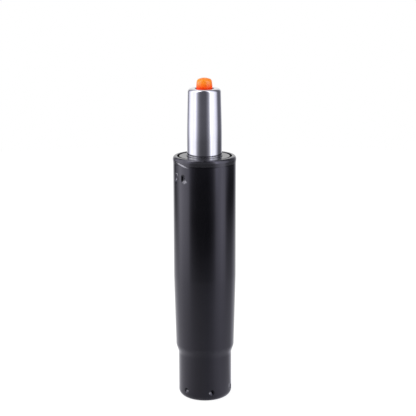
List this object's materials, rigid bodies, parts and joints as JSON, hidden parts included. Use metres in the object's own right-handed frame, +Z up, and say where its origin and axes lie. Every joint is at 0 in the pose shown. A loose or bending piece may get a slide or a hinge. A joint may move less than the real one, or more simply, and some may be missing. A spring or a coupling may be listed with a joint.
{
  "type": "chair gas lift cylinder",
  "caption": "Chair gas lift cylinder: a black tapered column in which a chrome gas tube slides, locks and swivels, with an orange push button in its top that releases it.",
  "frame": {"origin": "centre of the column's rolled foot, in the plane it stands on", "axes": "+Z up along the column's axis, -Y the side that faces the camera in the picture, +X to its right"},
  "size_m": [0.0506, 0.0506, 0.262],
  "materials": {
    "column_paint": "satin black powder coat",
    "tube_chrome": "polished chrome plate",
    "button_plastic": "moulded orange, soft gloss",
    "bush_plastic": "moulded grey, glossy top",
    "cap_plastic": "moulded black",
    "plate_steel": "pressed, zinc plated",
    "washer_steel": "stamped, zinc plated",
    "bearing_steel": "hardened and ground",
    "rod_steel": "ground and polished",
    "clip_steel": "blackened spring steel",
    "light_alloy": "turned",
    "valve_brass": "turned",
    "cage_brass": "pressed",
    "seal_rubber": "moulded black"
  },
  "bodies": {
    "column": {"column_tube": "column_paint", "guide_bush": "bush_plastic", "base_plate": "plate_steel", "lower_race": "bearing_steel"},
    "bearing_cage": {"ball_cage": "cage_brass", "bearing_balls": "bearing_steel"},
    "spindle": {"upper_race": "bearing_steel", "thrust_washer": "washer_steel", "end_bumper": "seal_rubber", "piston_rod": "rod_steel", "clip_washer": "washer_steel", "retaining_clip": "clip_steel", "piston": "light_alloy", "piston_seal": "seal_rubber", "piston_washer": "washer_steel", "piston_nut": "washer_steel"},
    "gas_cylinder": {"pressure_tube": "tube_chrome", "end_washer": "washer_steel", "rod_seal": "seal_rubber", "seal_retainer": "washer_steel", "rod_guide": "light_alloy", "guide_seal": "seal_rubber", "inner_cylinder": "rod_steel", "valve_body": "valve_brass", "tube_seal": "seal_rubber", "cylinder_seal": "seal_rubber", "pin_seal_lower": "seal_rubber", "pin_seal_spacer": "washer_steel", "pin_seal_upper": "seal_rubber", "valve_cap": "cap_plastic"},
    "release": {"release_button": "button_plastic", "valve_pin": "rod_steel", "poppet_seal": "seal_rubber"}
  },
  "joints": [
    {"name": "swivel", "type": "hinge", "parent": "column", "child": "spindle", "pos_m": [0, 0, 0], "axis": [0, 0, 1], "continuous": true},
    {"name": "cage_turn", "type": "hinge", "parent": "column", "child": "bearing_cage", "pos_m": [0, 0, 0], "axis": [0, 0, 1], "continuous": true},
    {"name": "lift", "type": "slide", "parent": "spindle", "child": "gas_cylinder", "axis": [0, 0, 1], "range_m": [-0.012, 0.088]},
    {"name": "release_press", "type": "slide", "parent": "gas_cylinder", "child": "release", "axis": [0, 0, -1], "range_m": [0, 0.004], "stiffness_N_per_m": 1000, "springref_m": -0.03}
  ],
  "couplings": [
    {"joint": "cage_turn", "follows": "swivel", "ratio": 0.5}
  ]
}
